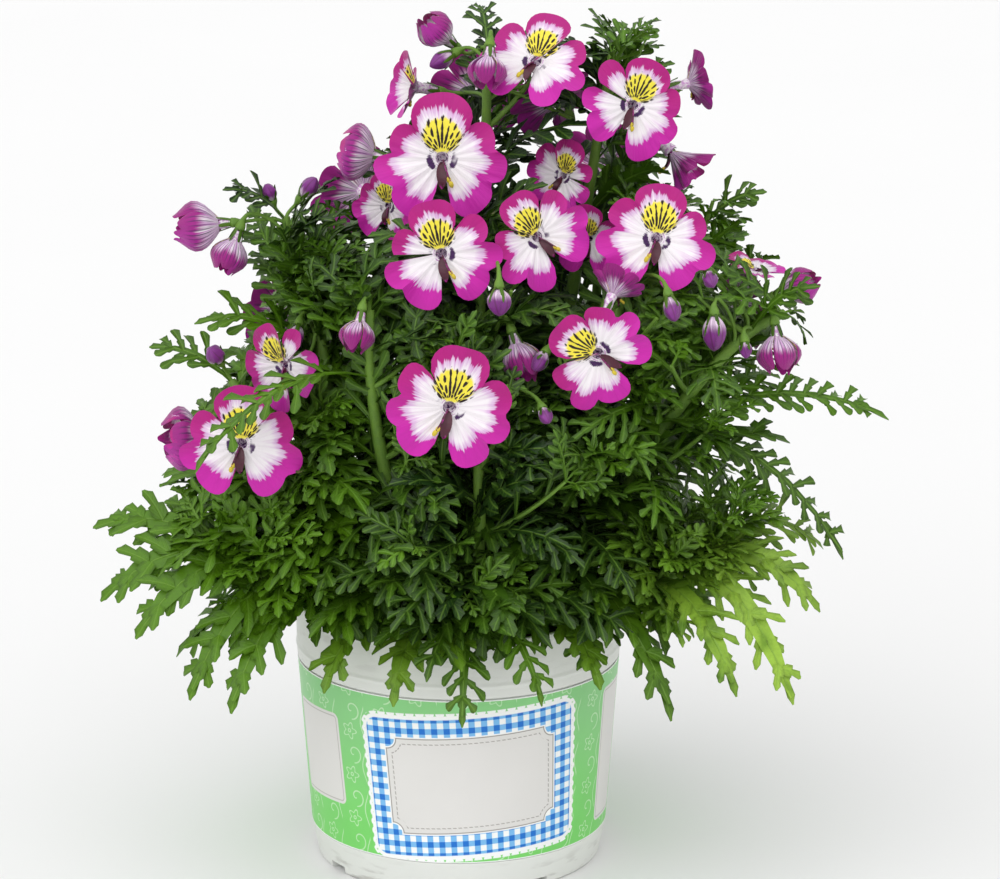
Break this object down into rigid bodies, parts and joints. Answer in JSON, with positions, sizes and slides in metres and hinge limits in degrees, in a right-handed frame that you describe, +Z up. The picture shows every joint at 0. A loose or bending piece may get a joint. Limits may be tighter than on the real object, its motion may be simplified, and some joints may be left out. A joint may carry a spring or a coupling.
{
  "type": "potted poor man's orchid",
  "caption": "Bushy annual with finely cut leaves and butterfly flowers in magenta, white and yellow, growing in a round white plastic pot with a printed wrap.",
  "frame": {"origin": "centre of the underside of the pot, on the surface that it stands on", "axes": "+Z up along the pot's axis, -Y towards the side of the wrap with the chequered panel, +X to that side's right"},
  "size_m": [0.2783, 0.2019, 0.3148],
  "materials": {
    "pot_plastic": "satin white, moulded",
    "wrap_print": "printed satin paper",
    "soil": "dark crumbly compost",
    "foliage_dark": "dark green leaf with a soft sheen",
    "foliage_mid": "green leaf with a soft sheen",
    "foliage_bright": "bright green leaf with a soft sheen",
    "petals": "velvety petal, magenta edge, white middle, yellow fan with dark dashes",
    "buds": "velvety purple bud, pale at its base"
  },
  "bodies": {
    "root": {"pot": "pot_plastic", "label_band": "wrap_print", "soil": "soil", "stem_back": "foliage_dark", "stem_back_left": "foliage_dark", "stem_back_right": "foliage_dark", "stem_centre": "foliage_dark", "stem_front": "foliage_mid", "stem_front_left": "foliage_mid", "stem_front_right": "foliage_mid", "stem_left_low": "foliage_bright", "stem_left_mid": "foliage_mid", "stem_left_top": "foliage_dark", "stem_low_front": "foliage_mid", "stem_right": "foliage_bright", "stem_right_back": "foliage_dark", "stem_right_top": "foliage_dark", "bloom_back_left": "petals", "bloom_back_low_left": "petals", "bloom_back_low_right": "petals", "bloom_back_right": "petals", "bloom_back_top": "petals", "bloom_behind_left": "petals", "bloom_behind_middle": "petals", "bloom_behind_right": "petals", "bloom_centre_left_half": "petals", "bloom_left_behind": "petals", "bloom_left_large": "petals", "bloom_left_nodding": "petals", "bloom_left_side": "petals", "bloom_left_upper": "petals", "bloom_lower_half": "petals", "bloom_lower_large": "petals", "bloom_lower_right": "petals", "bloom_middle": "petals", "bloom_middle_left": "petals", "bloom_right_flat": "petals", "bloom_right_large": "petals", "bloom_right_low_nodding": "petals", "bloom_right_nodding": "petals", "bloom_right_side": "petals", "bloom_right_side_half": "petals", "bloom_right_top_back": "petals", "bloom_right_turned": "petals", "bloom_tip_half": "petals", "bloom_top": "petals", "bloom_top_back": "petals", "bloom_top_left": "petals", "bloom_top_nodding": "petals", "bloom_upper_large": "petals", "bloom_upper_left_half": "petals", "bloom_upper_right": "petals", "bud_centre": "buds", "bud_left_low": "buds", "bud_left_mid": "buds", "bud_left_top": "buds", "bud_right_large": "buds", "bud_right_nodding": "buds", "bud_top": "buds"}
  },
  "joints": []
}
